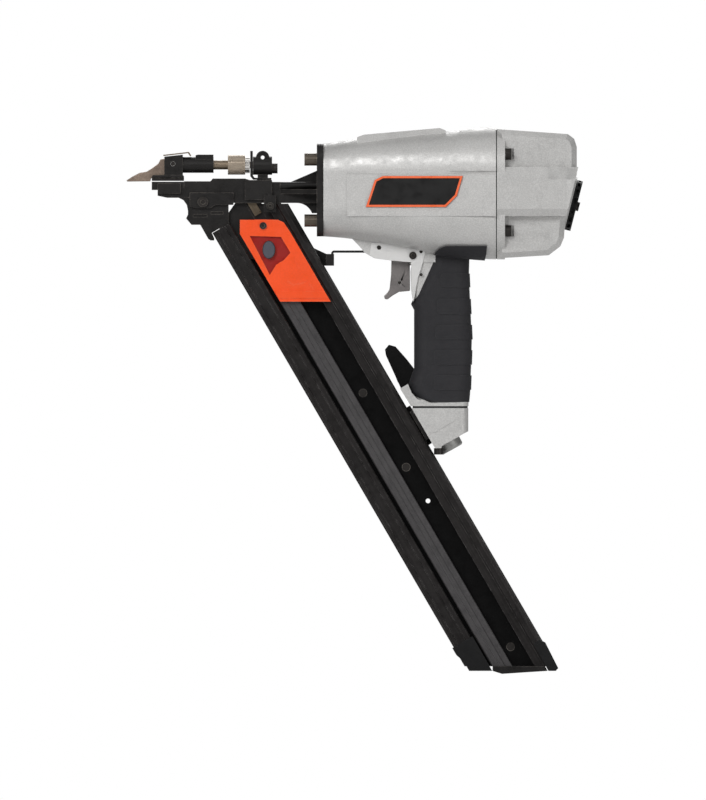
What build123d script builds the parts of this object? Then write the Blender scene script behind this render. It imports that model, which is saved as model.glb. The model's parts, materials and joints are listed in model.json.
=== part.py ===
from build123d import *
import os
from math import atan, cos, degrees, hypot, radians, sin

# Pneumatic nail gun for metal connectors, in millimetres, every piece its own solid.
# Frame: the origin is on the drive axis at the mouth of the nail channel. The nail leaves
# along -X, +Z is up, the handle hangs down -Z, and the open side of the magazine faces -Y.

os.makedirs("parts", exist_ok=True)

# ---------------------------------------------------------------- driving dimensions
CHANNEL_R = 3.8            # nail channel in the nose
BLADE_R = 3.3              # driver blade
STROKE = 94.0              # travel of piston and blade
GAP = 0.3                  # air gap beside sliding pieces

FLANGE_X = 138.5           # front face of the nosepiece flange
HOUSING_X = 144.3          # front face of the housing
FRONT_WALL_X = 150.0       # inner face of the housing's front wall
GASKET_X = 294.4           # rear face of the housing, where the gasket lies
CAP_X = 295.2              # front face of the cylinder cap
CAP_FLANGE_X = 302.2       # rear face of the cap's flange, under its bolt heads
WALL = 5.0                 # casting wall

SLEEVE_IN_R = 28.0
SLEEVE_OUT_R = 31.0
SLEEVE_REAR_X = 289.0
RIB_X = (196.0, 202.0)     # rib that steadies the sleeve
BUMPER_REAR_X = 173.9
PISTON_X = (268.0, 286.0)
BLADE_X = (92.0, 280.0)
VALVE_BORE_R = 36.1        # bore of the head valve in the cap
VALVE_SEAT_X = 326.0       # wall that the head valve's spring stands on
EXHAUST_R = 9.0            # exhaust tube, inside
HEAD_VALVE_LIFT = 6.0

HANDLE_HALF = 15.5         # half width of the handle core
GRIP_HALF = 19.0           # half width over the rubber
FOOT_HALF = 18.5           # half width of the handle's foot and end cap
FOOT_CORNER = 7.0          # rounding of their corners, seen from above
HANDLE_END_Z = -187.6      # lower face of the handle casting
END_CAP_Z = -189.4         # upper face of the end cap
PASSAGE = (233.0, 262.0, 9.0)   # air passage in the handle: front x, rear x, half width
END_BOLTS = [(244.6, -12.2), (244.6, 12.2)]

MAG_TILT = 30.2            # magazine axis from the vertical
MAG_ORIGIN = (47.7, -37.1)  # x, z of the front rail's outer edge at its upper end
MAG_WIDTH = 69.8           # across both rails
MAG_BLANK = (-60.0, 560.0)  # start and length of the extrusions before their ends are cut
MAG_HALF = 11.0            # half depth of the rails
MAG_TOP_Z = -11.5          # the rear rail's level upper end, under the neck
MAG_END_Z = -414.0         # the rails' level lower end
NAIL_SLOT_HALF = 4.0       # half depth of the slot that the nails lie in
TIE_HOLE = (44.9, 295.7, 2.0)   # tie hole through the web: u, v, radius
WEB_SCREWS = [(43.2, 186.1), (43.2, 260.8), (43.2, 441.5)]

ADJUST_Z = 22.2            # axis of the depth adjuster
PROBE_PIVOT = (13.3, 23.3)
SEAT_U = 73.2              # where the bracket meets the end cap, across the magazine
BRACKET_SCREW_V = (226.0, 244.0)
INLET_DIR = (0.485, 0, -0.8745)    # the way the air inlet faces
INLET_SEAT = (253.0, 0, -219.0)    # centre of the inlet's seat on the end cap
INLET_R = 7.5
HOOK_PIVOT = (250.0, -203.0)
TRIGGER_PIVOT = (192.7, -49.7)
TRIP_PIVOT = (210.5, -80.3)
VALVE_Z = -63.2            # axis of the trigger valve
WIRE_Z = -53.2
WIRE_R = 1.0

# Barrel sections of the housing: x, lower z, upper z, width, corner radius.
BARREL = [
    (HOUSING_X, -40.0, 40.8, 76.0, 24.0),
    (200.0, -47.0, 47.6, 92.0, 29.0),
    (262.0, -57.5, 52.0, 106.0, 33.0),
    (GASKET_X, -60.0, 53.4, 110.0, 34.0),
]
BAND = (-22.2, 17.0)       # the flat side band of housing and cap, in z
BAND_START = (165.0, 42.5)  # where the band leaves the barrel: x, half width
BAND_SLOPE = 0.121         # growth of its half width along x


# ---------------------------------------------------------------- helpers
def prism(points, y_low, y_high, mode=Mode.ADD):
    """A closed outline in x and z, extruded between two y planes."""
    with BuildSketch(Plane.XZ.offset(-y_high)) as outline:
        with BuildLine():
            Polyline(*points, close=True)
        make_face()
    extrude(outline.sketch, amount=y_high - y_low, mode=mode)


def rod_x(x_low, x_high, radius, y=0.0, z=0.0, mode=Mode.ADD):
    """A round bar along X."""
    with BuildSketch(Plane.YZ.offset(x_low)) as disc:
        with Locations((y, z)):
            Circle(radius)
    extrude(disc.sketch, amount=x_high - x_low, mode=mode)


def rod_y(x, z, radius, y_low, y_high, mode=Mode.ADD):
    """A round bar along Y."""
    with BuildSketch(Plane.XZ.offset(-y_high)) as disc:
        with Locations((x, z)):
            Circle(radius)
    extrude(disc.sketch, amount=y_high - y_low, mode=mode)


def rod_z(x, y, radius, z_low, z_high, mode=Mode.ADD):
    """A round bar along Z."""
    with BuildSketch(Plane.XY.offset(z_low)) as disc:
        with Locations((x, y)):
            Circle(radius)
    extrude(disc.sketch, amount=z_high - z_low, mode=mode)


def block(x, y, z, mode=Mode.ADD):
    """A box between the two limits given for each axis."""
    with Locations(((x[0] + x[1]) / 2, (y[0] + y[1]) / 2, (z[0] + z[1]) / 2)):
        Box(x[1] - x[0], y[1] - y[0], z[1] - z[0], mode=mode)


def engrave(points, width, y_low, y_high):
    """An engraved line through points in x and z, between two y planes."""
    for (x0, z0), (x1, z1) in zip(points, points[1:]):
        length = hypot(x1 - x0, z1 - z0)
        along = (x1 - x0) / length * width / 2
        up = (z1 - z0) / length * width / 2
        prism(
            [(x0 - along - up, z0 - up + along), (x1 + along - up, z1 + up + along),
             (x1 + along + up, z1 + up - along), (x0 - along + up, z0 - up - along)],
            y_low, y_high, mode=Mode.SUBTRACT,
        )


def barrel_at(x):
    """Lower z, upper z, width and corner of the barrel at x."""
    for near, far in zip(BARREL, BARREL[1:]):
        if x <= far[0]:
            break
    share = (x - near[0]) / (far[0] - near[0])
    return [a + share * (b - a) for a, b in zip(near[1:], far[1:])]


def barrel(stations, grow, mode=Mode.ADD):
    """The barrel's form between stations, grown or shrunk all round."""
    faces = []
    for x in stations:
        low, high, width, corner = barrel_at(x)
        with BuildSketch(Plane.YZ.offset(x)) as section:
            with Locations((0, (low + high) / 2)):
                RectangleRounded(width + 2 * grow, high - low + 2 * grow, corner + grow)
        faces.append(section.sketch)
    loft(faces, mode=mode)


def column(stations, half, corner, mode=Mode.ADD):
    """A loft down the handle through rounded sections at z, from front x to rear x."""
    faces = []
    for z, front, rear in stations:
        with BuildSketch(Plane.XY.offset(z)) as section:
            with Locations(((front + rear) / 2, 0)):
                RectangleRounded(rear - front, 2 * half, corner)
        faces.append(section.sketch)
    loft(faces, ruled=True, mode=mode)


def rounded_plan(x_low, x_high, half, corner, z_low, z_high):
    """A rounded rectangle seen from above, as an upright block."""
    with BuildPart(mode=Mode.PRIVATE) as upright:
        with BuildSketch(Plane.XY.offset(z_low)) as plan:
            with Locations(((x_low + x_high) / 2, 0)):
                RectangleRounded(x_high - x_low, 2 * half, corner)
        extrude(plan.sketch, amount=z_high - z_low)
    return upright.part


def mag_point(u, v):
    """x and z of a magazine point: u across from the front edge, v down its length."""
    t = radians(MAG_TILT)
    return (
        MAG_ORIGIN[0] + u * cos(t) + v * sin(t),
        MAG_ORIGIN[1] + u * sin(t) - v * cos(t),
    )


def mag_plane(v):
    """Plane across the magazine: local x is u, local y points at -Y, normal down its length."""
    t = radians(MAG_TILT)
    x, z = mag_point(0, v)
    return Plane(origin=(x, 0, z), x_dir=(cos(t), 0, sin(t)), z_dir=(sin(t), 0, -cos(t)))


def mag_outline(points):
    """Magazine points as x and z."""
    return [mag_point(u, v) for u, v in points]


def across_plane(u, v):
    """Plane along the magazine at u and v, its normal facing the front rail."""
    t = radians(MAG_TILT)
    x, z = mag_point(u, v)
    return Plane(origin=(x, 0, z), x_dir=(0, 1, 0), z_dir=(-cos(t), 0, -sin(t)))


def mag_run(points, v_low, v_high, mode=Mode.ADD):
    """A cross-section in u and -y, extruded along the magazine."""
    with BuildSketch(mag_plane(v_low)) as section:
        with BuildLine():
            Polyline(*points, close=True)
        make_face()
    extrude(section.sketch, amount=v_high - v_low, mode=mode)


def cap_screw(plane, head_r, head_h, shank_r, shank):
    """A socket-head screw; the plane's origin is under its head and its normal is the head's way."""
    with BuildSketch(plane) as head:
        Circle(head_r)
    extrude(head.sketch, amount=head_h)
    with BuildSketch(plane) as stem:
        Circle(shank_r)
    extrude(stem.sketch, amount=-shank)
    with BuildSketch(plane.offset(head_h)) as socket:
        RegularPolygon(head_r * 0.5, 6)
    extrude(socket.sketch, amount=-head_h * 0.55, mode=Mode.SUBTRACT)


def helix_spring(start, direction, radius, wire_r, length, turns):
    """A compression spring that fills a length from start along direction."""
    way = Vector(*direction).normalized()
    pitch = (length - 2 * wire_r) / turns
    with BuildLine() as path:
        Helix(pitch, length - 2 * wire_r, radius, center=Vector(*start) + way * wire_r, direction=way)
    with BuildSketch(Plane(origin=path.line @ 0, z_dir=path.line % 0)) as wire:
        Circle(wire_r)
    sweep(wire.sketch, path=path.line, is_frenet=True)


def axis_plane(x, y, z, direction):
    """A plane at a point with the given normal."""
    return Plane(origin=(x, y, z), z_dir=direction)


def save(builder, name):
    """Label the finished piece and write it as parts/NAME.step."""
    builder.part.label = name
    export_step(builder.part, f"parts/{name}.step")


# ---------------------------------------------------------------- handle and housing outlines
# stations down the handle: z, front x, rear x
HANDLE = [
    (-40.0, 219.0, 264.0), (-62.0, 219.8, 267.5), (-86.6, 220.5, 268.1), (-98.5, 222.6, 268.7),
    (-106.0, 226.5, 269.0), (-130.0, 226.5, 270.2), (-154.0, 226.5, 269.5), (-170.0, 224.0, 269.0),
    (HANDLE_END_Z, 226.0, 268.6),
]
HANDLE_CORNER = 7.0
FOOT = [
    (210.9, -172.4), (217.8, -168.3), (221.0, -176.0), (226.0, -181.6), (233.5, -184.9),
    (270.5, -184.0), (270.5, HANDLE_END_Z), (220.4, HANDLE_END_Z),
]
GRIP = [
    (-50.0, 237.0, 271.6), (-62.4, 237.0, 271.2), (-73.5, 232.0, 270.9), (-98.9, 220.4, 272.0),
    (-104.0, 223.1, 272.3), (-130.0, 223.1, 273.4), (-154.4, 223.1, 272.7), (-168.2, 218.2, 272.2),
    (-175.6, 221.4, 272.0), (-181.1, 226.4, 271.5), (-184.2, 233.3, 271.2),
]
GRIP_CORNER = 11.0
PAD_PROUD = 0.8
PAD_REAR_X = 285.0         # beyond the grip, so that each pad wraps round its back
# raised pads on the grip's sides: upper z, lower z, front x
PADS = [
    (-72.3, -84.3, 246.4), (-94.3, -107.6, 243.1), (-116.9, -129.6, 241.7),
    (-138.9, -151.6, 240.4), (-160.9, -173.5, 240.4),
]
SADDLE = [
    (236.9, -66.0), (236.9, -63.0), (240.0, -56.5), (244.5, -51.2), (250.5, -48.4),
    (286.6, -48.3), (286.0, -55.0), (283.6, -66.0),
]
TRIGGER_BAY = [
    (169.0, -36.0), (169.5, -42.3), (176.1, -49.2), (180.4, -54.4), (189.1, -59.2),
    (203.4, -61.0), (221.0, -62.4), (242.0, -62.4), (242.0, -40.0),
]
PIN_PANEL = [
    (186.0, -45.6), (206.0, -46.0), (233.5, -51.0), (231.0, -62.0), (226.5, -76.0),
    (222.6, -97.0), (220.6, -86.0), (220.6, -62.4), (203.4, -61.0), (189.6, -59.2), (184.5, -56.0),
]
TRIGGER_SLOT = [
    (186.5, -44.7), (204.5, -44.7), (204.5, -47.5), (226.3, -47.5), (226.3, -93.0),
    (219.0, -96.0), (210.0, -66.0), (186.5, -66.0),
]
TOP_PAD = [
    (173.5, 38.0), (173.5, 46.4), (179.6, 48.6), (245.4, 54.4), (250.6, 52.4), (250.6, 38.0),
]
FLANGE_BOLTS = [(y, z) for y in (-25.5, 25.5) for z in (-26.2, 27.0)]
CAP_BOLTS = [(y, z) for y in (-47.2, 47.2) for z in (-35.2, 31.6)]
VALVE_PINS = [(229.2, VALVE_Z - 10.05), (229.2, VALVE_Z + 10.05)]
SIDE_SCREW = (222.1, -56.6)
band_rear_half = BAND_START[1] + BAND_SLOPE * (GASKET_X - BAND_START[0])
# the band's section as heights, each with its step in from the band's face
BAND_HOUSING = [(-22.2, 0.0), (13.8, 0.0), (18.6, 3.4)]
BAND_CAP = [(-22.2, 3.6), (-16.0, 0.0), (9.6, 0.0), (20.4, 5.2)]


def band_section(x, heights, half=None):
    """The band's section across the tool at x; its half width follows the slope unless given."""
    if half is None:
        half = BAND_START[1] + BAND_SLOPE * (x - BAND_START[0])
    right = [(half - step, z) for z, step in heights]
    left = [(step - half, z) for z, step in reversed(heights)]
    with BuildSketch(Plane.YZ.offset(x)) as section:
        with BuildLine():
            Polyline(*right, *left, close=True)
        make_face()
    return section.sketch


# ---------------------------------------------------------------- housing casting
with BuildPart() as housing:
    barrel([s[0] for s in BARREL], 0)
    # flat band along both sides, growing out of the barrel, its upper edge bevelled
    loft([band_section(x, BAND_HOUSING) for x in (BAND_START[0], GASKET_X)])
    prism(TOP_PAD, -30.0, 30.0)
    prism(TRIGGER_BAY, -17.0, 17.0)
    column(HANDLE, HANDLE_HALF, HANDLE_CORNER)
    prism(PIN_PANEL, -17.6, 17.6)
    with BuildPart(mode=Mode.PRIVATE) as foot:
        prism(FOOT, -FOOT_HALF, FOOT_HALF)
    foot_plan = rounded_plan(200.0, 270.5, FOOT_HALF, FOOT_CORNER, -200.0, -160.0)
    add(foot.part & foot_plan)
    # rear collar, its front edge leaning forward as it comes down
    with BuildSketch(Plane.XZ.offset(-80)) as collar_side:
        with BuildLine():
            Polyline((267.0, 70.0), (254.0, BAND[1]), (GASKET_X, BAND[1]), (GASKET_X, 70.0), close=True)
        make_face()
    collar_zone = extrude(collar_side.sketch, amount=160, mode=Mode.PRIVATE)
    with BuildPart(mode=Mode.PRIVATE) as collar:
        barrel([240.0, GASKET_X], 1.8)
    add(collar.part & collar_zone)
    # hollow: air reservoir, open at the rear, and the passage down the handle
    barrel([FRONT_WALL_X, 200.0, 262.0, GASKET_X + 0.5], -WALL, mode=Mode.SUBTRACT)
    block(PASSAGE[:2], (-PASSAGE[2], PASSAGE[2]), (HANDLE_END_Z - 1, -48.0), mode=Mode.SUBTRACT)
    # rib round the sleeve, and bosses for the bolts
    barrel(RIB_X, -WALL + 0.5)
    for y, z in FLANGE_BOLTS:
        rod_x(FRONT_WALL_X - 1, 161.0, 5.4, y, z)
    for y, z in CAP_BOLTS:
        rod_x(276.0, GASKET_X, 5.0, y, z)
    rod_x(RIB_X[0] - 1, RIB_X[1] + 1, SLEEVE_OUT_R + 0.2, mode=Mode.SUBTRACT)
    prism(TRIGGER_SLOT, -7.2, 7.2, mode=Mode.SUBTRACT)
    rod_x(218.0, 240.0, 11.8, z=VALVE_Z, mode=Mode.SUBTRACT)
    rod_x(HOUSING_X - 1, FRONT_WALL_X + 1, 4.6, mode=Mode.SUBTRACT)
    rod_x(160.0, 190.0, WIRE_R + 0.7, z=WIRE_Z, mode=Mode.SUBTRACT)
    rod_y(*TRIGGER_PIVOT, 2.0, -20, 20, mode=Mode.SUBTRACT)
    for x, z in VALVE_PINS:
        rod_y(x, z, 1.7, -20, 20, mode=Mode.SUBTRACT)
    for side in (-1, 1):
        near, far = sorted((side * 12.5, side * 18.0))
        rod_y(*SIDE_SCREW, 2.1, near, far, mode=Mode.SUBTRACT)
    for y, z in FLANGE_BOLTS:
        rod_x(HOUSING_X - 1, 157.0, 3.1, y, z, mode=Mode.SUBTRACT)
    for y, z in CAP_BOLTS:
        rod_x(278.0, GASKET_X + 1, 3.1, y, z, mode=Mode.SUBTRACT)
    for x, y in END_BOLTS:
        rod_z(x, y, 2.2, -174.0, HANDLE_END_Z - 1, mode=Mode.SUBTRACT)
save(housing, "housing")

# ---------------------------------------------------------------- cylinder cap and exhaust
CAP_LOBES = [
    (CAP_X, -59.1), (340.3, -56.4), (350.4, -48.6), (353.6, -41.0), (354.4, -27.4),
    (364.7, 14.0), (364.7, 38.0), (362.4, 45.0), (356.9, 49.1), (CAP_X, 53.4),
]
CAP_CAVITY = [
    (CAP_X - 1, -53.6), (338.0, -51.4), (345.6, -45.4), (347.6, -26.5), (357.4, 12.5),
    (357.4, 37.0), (353.6, 44.0), (CAP_X - 1, 47.8),
]
CAP_BAND = [(CAP_X - 1, -30), (353.8, -30), (355.6, -22.2), (366.0, 20.4), (CAP_X - 1, 20.4)]
CAP_BAND_PLAN = [(CAP_X, band_rear_half), (340.0, 56.5), (356.0, 54.0), (370.0, 50.0)]
LOBE_HALF = 44.0
LOBE_BEVEL = 4.6
GRILLE_AXIS = (0.969, 0, -0.247)
GRILLE_SEAT = (359.6, 0, -12.4)
GRILLE_R = 22.3

with BuildPart() as cylinder_cap:
    low, high, width, corner = barrel_at(GASKET_X)
    with BuildSketch(Plane.YZ.offset(CAP_X)) as flange_face:
        with Locations((0, (low + high) / 2)):
            RectangleRounded(width, high - low, corner)
    extrude(flange_face.sketch, amount=CAP_FLANGE_X - CAP_X)
    with BuildPart(mode=Mode.PRIVATE) as lobes:
        prism(CAP_LOBES, -LOBE_HALF, LOBE_HALF)
        chamfer(lobes.faces().filter_by(Axis.Y).edges(), length=LOBE_BEVEL)
    add(lobes.part)
    # side band, bevelled above and below, narrowing a little towards the rear
    with BuildPart(mode=Mode.PRIVATE) as band_plan:
        loft([band_section(x, BAND_CAP, half) for x, half in CAP_BAND_PLAN], ruled=True)
    with BuildPart(mode=Mode.PRIVATE) as band_side:
        prism(CAP_BAND, -70, 70)
    add(band_side.part & band_plan.part)
    # hollow, with the head valve's bore left standing
    prism(CAP_CAVITY, -LOBE_HALF + WALL, LOBE_HALF - WALL, mode=Mode.SUBTRACT)
    block((CAP_X - 1, 350.0), (-50.5, 50.5), (BAND[0] + WALL, 20.4 - WALL), mode=Mode.SUBTRACT)
    rod_x(CAP_X, VALVE_SEAT_X + 4, VALVE_BORE_R + 3.2)
    rod_x(VALVE_SEAT_X, 349.0, EXHAUST_R + 4)
    rod_x(CAP_X - 1, VALVE_SEAT_X, VALVE_BORE_R, mode=Mode.SUBTRACT)
    rod_x(303.4, VALVE_SEAT_X + 2, EXHAUST_R + 4)
    # seat of the grille, leaning with its axis
    with BuildSketch(axis_plane(*GRILLE_SEAT, GRILLE_AXIS)) as seat:
        Circle(GRILLE_R + 2.2)
    extrude(seat.sketch, amount=-14)
    extrude(seat.sketch, amount=20, mode=Mode.SUBTRACT)
    with BuildSketch(axis_plane(*GRILLE_SEAT, GRILLE_AXIS)) as port:
        Circle(17.0)
    extrude(port.sketch, amount=-10, mode=Mode.SUBTRACT)
    rod_x(300.0, 354.0, EXHAUST_R, mode=Mode.SUBTRACT)
    # bar across the port that takes the grille's screw
    with BuildSketch(axis_plane(*GRILLE_SEAT, GRILLE_AXIS)) as bar:
        Rectangle(8.0, 36.0)
        Circle(1.7, mode=Mode.SUBTRACT)
    extrude(bar.sketch, amount=-8)
    for y, z in CAP_BOLTS:
        rod_x(CAP_X - 1, CAP_FLANGE_X + 1, 3.1, y, z, mode=Mode.SUBTRACT)
        rod_x(CAP_FLANGE_X, 310.0, 5.8, y, z, mode=Mode.SUBTRACT)
save(cylinder_cap, "cylinder_cap")

with BuildPart() as cap_bolts:
    for y, z in CAP_BOLTS:
        cap_screw(axis_plane(CAP_FLANGE_X, y, z, (1, 0, 0)), 5.0, 5.6, 3.0, 22.0)
save(cap_bolts, "cap_bolts")

with BuildPart() as exhaust_grille:
    grille_plane = axis_plane(*GRILLE_SEAT, GRILLE_AXIS)
    with BuildSketch(grille_plane) as disc:
        Circle(GRILLE_R)
        Circle(2.0, mode=Mode.SUBTRACT)
        with PolarLocations(12.0, 12):
            SlotOverall(9.0, 2.6, mode=Mode.SUBTRACT)
    extrude(disc.sketch, amount=5.2)
    # open rim between radial teeth
    with BuildSketch(grille_plane.offset(1.4)) as notches:
        with PolarLocations(GRILLE_R, 16, start_angle=11.25):
            Rectangle(5.0, 5.6)
    extrude(notches.sketch, amount=2.4, mode=Mode.SUBTRACT)
save(exhaust_grille, "exhaust_grille")

with BuildPart() as grille_screw:
    cap_screw(grille_plane.offset(5.2), 4.0, 2.2, 1.65, 13.0)
save(grille_screw, "grille_screw")

# ---------------------------------------------------------------- cylinder, piston and head valve
with BuildPart() as cylinder_sleeve:
    rod_x(FRONT_WALL_X, SLEEVE_REAR_X, SLEEVE_OUT_R)
    rod_x(FRONT_WALL_X - 1, SLEEVE_REAR_X + 1, SLEEVE_IN_R, mode=Mode.SUBTRACT)
    # groove for the seal, and return-air holes just behind the bumper
    with BuildSketch(Plane.YZ.offset(197.5)) as groove:
        Circle(SLEEVE_OUT_R + 1)
        Circle(SLEEVE_OUT_R - 1.4, mode=Mode.SUBTRACT)
    extrude(groove.sketch, amount=3.0, mode=Mode.SUBTRACT)
    for turn in range(4):
        with BuildSketch(Plane.XY.rotated((45 * turn, 0, 0)).offset(-40)) as vent:
            with Locations((180.0, 0)):
                Circle(2.2)
        extrude(vent.sketch, amount=80, mode=Mode.SUBTRACT)
save(cylinder_sleeve, "cylinder_sleeve")

with BuildPart() as sleeve_seal:
    with BuildSketch(Plane.YZ.offset(197.5)) as ring:
        Circle(SLEEVE_OUT_R + 0.2)
        Circle(SLEEVE_OUT_R - 1.4, mode=Mode.SUBTRACT)
    extrude(ring.sketch, amount=3.0)
save(sleeve_seal, "sleeve_seal")

with BuildPart() as bumper:
    with BuildSketch(Plane.XY) as section:
        with BuildLine():
            Polyline(
                (FRONT_WALL_X, 4.8), (FRONT_WALL_X, SLEEVE_IN_R - 0.1), (164.0, SLEEVE_IN_R - 0.1),
                (168.0, 24.0), (BUMPER_REAR_X, 22.0), (BUMPER_REAR_X, 10.0), (166.0, 4.8), close=True,
            )
        make_face()
    revolve(section.sketch, axis=Axis.X)
save(bumper, "bumper")

with BuildPart() as piston:
    rod_x(*PISTON_X, SLEEVE_IN_R - 0.05)
    with BuildSketch(Plane.YZ.offset(275.0)) as groove:
        Circle(SLEEVE_IN_R + 1)
        Circle(SLEEVE_IN_R - 2.5, mode=Mode.SUBTRACT)
    extrude(groove.sketch, amount=3.4, mode=Mode.SUBTRACT)
    rod_x(PISTON_X[0] - 1, BLADE_X[1], BLADE_R, mode=Mode.SUBTRACT)
    with BuildSketch(Plane.YZ.offset(280.5)) as dish:
        Circle(SLEEVE_IN_R - 5)
        Circle(7.0, mode=Mode.SUBTRACT)
    extrude(dish.sketch, amount=8, mode=Mode.SUBTRACT)
save(piston, "piston")

with BuildPart() as piston_ring:
    with BuildSketch(Plane.YZ.offset(275.0)) as ring:
        Circle(SLEEVE_IN_R - 0.03)
        Circle(SLEEVE_IN_R - 2.5, mode=Mode.SUBTRACT)
    extrude(ring.sketch, amount=3.4)
save(piston_ring, "piston_ring")

with BuildPart() as driver_blade:
    rod_x(*BLADE_X, BLADE_R)
save(driver_blade, "driver_blade")

with BuildPart() as head_valve:
    rod_x(292.0, 308.0, VALVE_BORE_R - 0.06)
    rod_x(297.0, 309.0, VALVE_BORE_R - 5, mode=Mode.SUBTRACT)
    rod_x(291.0, 298.0, EXHAUST_R - 1, mode=Mode.SUBTRACT)
save(head_valve, "head_valve")

with BuildPart() as head_valve_seal:
    with BuildSketch(Plane.YZ.offset(SLEEVE_REAR_X)) as ring:
        Circle(SLEEVE_OUT_R + 2)
        Circle(SLEEVE_IN_R - 2, mode=Mode.SUBTRACT)
    extrude(ring.sketch, amount=3.0)
save(head_valve_seal, "head_valve_seal")

with BuildPart() as head_valve_spring:
    helix_spring((297.0, 0, 0), (1, 0, 0), 20.0, 1.3, VALVE_SEAT_X - 297.0, 4)
save(head_valve_spring, "head_valve_spring")

# ---------------------------------------------------------------- nosepiece
NOSE_HALF = 9.5
NOSE_REAR_X = 99.5
NAIL_PORT_X = (22.0, 92.0)

with BuildPart() as nosepiece:
    with BuildSketch(Plane.YZ.offset(FLANGE_X)) as flange:
        with Locations((0, 0.35)):
            RectangleRounded(72.0, 80.7, 13.0)
    extrude(flange.sketch, amount=HOUSING_X - FLANGE_X)
    block((NOSE_REAR_X - 2, FLANGE_X + 1), (-8.5, 8.5), (-10.9, 7.4))
    prism(
        [(23.0, -6.0), (23.0, 8.0), (46.0, 8.0), (48.0, 10.4), (76.0, 10.4), (80.0, 9.1),
         (NOSE_REAR_X, 9.1), (NOSE_REAR_X, -10.9), (66.0, -10.9), (62.0, -6.0)],
        -NOSE_HALF, NOSE_HALF,
    )
    # cheeks that hold the magazine head
    for side in (-1, 1):
        near, far = sorted((side * (NOSE_HALF - 0.5), side * 12.2))
        prism(
            [(28.0, -2.0), (28.0, -14.0), (33.0, -15.4), (46.0, -15.4), (50.0, -12.6),
             (66.0, -12.6), (66.0, -2.0)],
            near, far,
        )
    # gussets: a top fin, an arched lower fin, and one on each side
    with BuildSketch(Plane.XZ.offset(-2.6)) as fins:
        with BuildLine():
            Line((115.0, 7.0), (139.0, 17.4))
            Line((139.0, 17.4), (139.0, -19.8))
            Line((139.0, -19.8), (134.3, -19.8))
            ThreePointArc((134.3, -19.8), (129.2, -13.4), (121.0, -10.9))
            Line((121.0, -10.9), (115.0, 7.0))
        make_face()
    extrude(fins.sketch, amount=5.2)
    with BuildSketch(Plane.XY.offset(-3.0)) as side_fins:
        with BuildLine():
            Polyline((106.0, 8.0), (139.0, 25.0), (139.0, -25.0), (106.0, -8.0), close=True)
        make_face()
    extrude(side_fins.sketch, amount=4.0)
    for y in (-8.8, 8.8):
        rod_x(106.5, 139.0, 3.0, y, 4.4)
    rod_x(20.0, HOUSING_X + 1, CHANNEL_R, mode=Mode.SUBTRACT)
    block(NAIL_PORT_X, (-NAIL_SLOT_HALF, NAIL_SLOT_HALF), (-20.0, 0.0), mode=Mode.SUBTRACT)
    # the magazine head fills the space between the cheeks
    prism([(20.0, -6.0), (61.8, -6.0), (66.1, -10.9), (66.1, -20.0), (20.0, -20.0)],
          -NOSE_HALF, NOSE_HALF, mode=Mode.SUBTRACT)
    for y, z in FLANGE_BOLTS:
        rod_x(FLANGE_X - 1, HOUSING_X + 1, 3.1, y, z, mode=Mode.SUBTRACT)
    rod_y(39.4, -10.0, 2.6, -20, 20, mode=Mode.SUBTRACT)
save(nosepiece, "nosepiece")

with BuildPart() as flange_bolts:
    for y, z in FLANGE_BOLTS:
        cap_screw(axis_plane(FLANGE_X, y, z, (-1, 0, 0)), 5.4, 10.8, 3.0, 17.0)
save(flange_bolts, "flange_bolts")

HEAD_OUTLINE = [
    (-5.1, 7.6), (-5.1, 0.4), (0.0, 0.4), (0.0, -4.6), (8.4, -6.4), (18.4, -6.4), (22.6, -8.6),
    (25.4, -12.6), (26.4, -17.5), (26.4, -20.9), (24.8, -24.3), (29.5, -29.9), (37.1, -29.9),
    (44.1, -42.2), (46.1, -43.5), (49.2, -43.5), (49.4, -41.8),
    mag_point(-0.4, -0.4), mag_point(17.0, -0.4), (61.8, -26.0), (61.8, -6.0), (23.0, -6.0),
    (23.0, 7.6),
]
HEAD_HALF = 9.2
with BuildPart() as magazine_head:
    prism(HEAD_OUTLINE, -HEAD_HALF, HEAD_HALF)
    block((0.0, 20.0), (-12.0, -8.0), (-2.6, 6.0))
    block((0.0, 20.0), (8.0, 12.0), (-2.6, 6.0))
    rod_x(-1.0, 24.0, CHANNEL_R, mode=Mode.SUBTRACT)
    rod_x(-6.0, 0.0, 4.6, mode=Mode.SUBTRACT)
    # port where the nails come up from the magazine
    prism(
        [(22.0, 5.0), (22.0, -4.0), mag_point(5.0, 2.0), mag_point(40.0, 2.0), (70.0, 5.0)],
        -NAIL_SLOT_HALF, NAIL_SLOT_HALF, mode=Mode.SUBTRACT,
    )
    for side in (-1, 1):
        near, far = sorted((side * 5.5, side * 10.0))
        rod_y(39.4, -10.0, 2.1, near, far, mode=Mode.SUBTRACT)
        # witness slots on the outside
        near, far = sorted((side * 8.0, side * 10.0))
        block((31.0, 43.0), (near, far), (-23.2, -20.8), mode=Mode.SUBTRACT)
        block((46.5, 57.0), (near, far), (-20.6, -18.6), mode=Mode.SUBTRACT)
save(magazine_head, "magazine_head")

CLIP_SCREW = (98.0, -13.6)
with BuildPart() as nose_clip:
    with BuildSketch(Plane.XY.offset(-8.3)) as saddle:
        for y in (-11.1, 11.1):
            with Locations(((76.0 + NOSE_REAR_X) / 2, y)):
                Rectangle(NOSE_REAR_X - 76.0, 3.0)
    extrude(saddle.sketch, amount=17.2)
    block((92.5, 103.0), (-13.4, -11.2), (-18.6, -4.0))
    rod_y(*CLIP_SCREW, 1.9, -14.0, -9.0, mode=Mode.SUBTRACT)
save(nose_clip, "nose_clip")

with BuildPart() as nose_screws:
    for side in (-1, 1):
        cap_screw(axis_plane(39.4, side * 12.2, -10.0, (0, side, 0)), 4.5, 2.6, 2.05, 6.4)
    cap_screw(axis_plane(CLIP_SCREW[0], -13.4, CLIP_SCREW[1], (0, -1, 0)), 3.2, 2.4, 1.85, 4.6)
save(nose_screws, "nose_screws")

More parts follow.
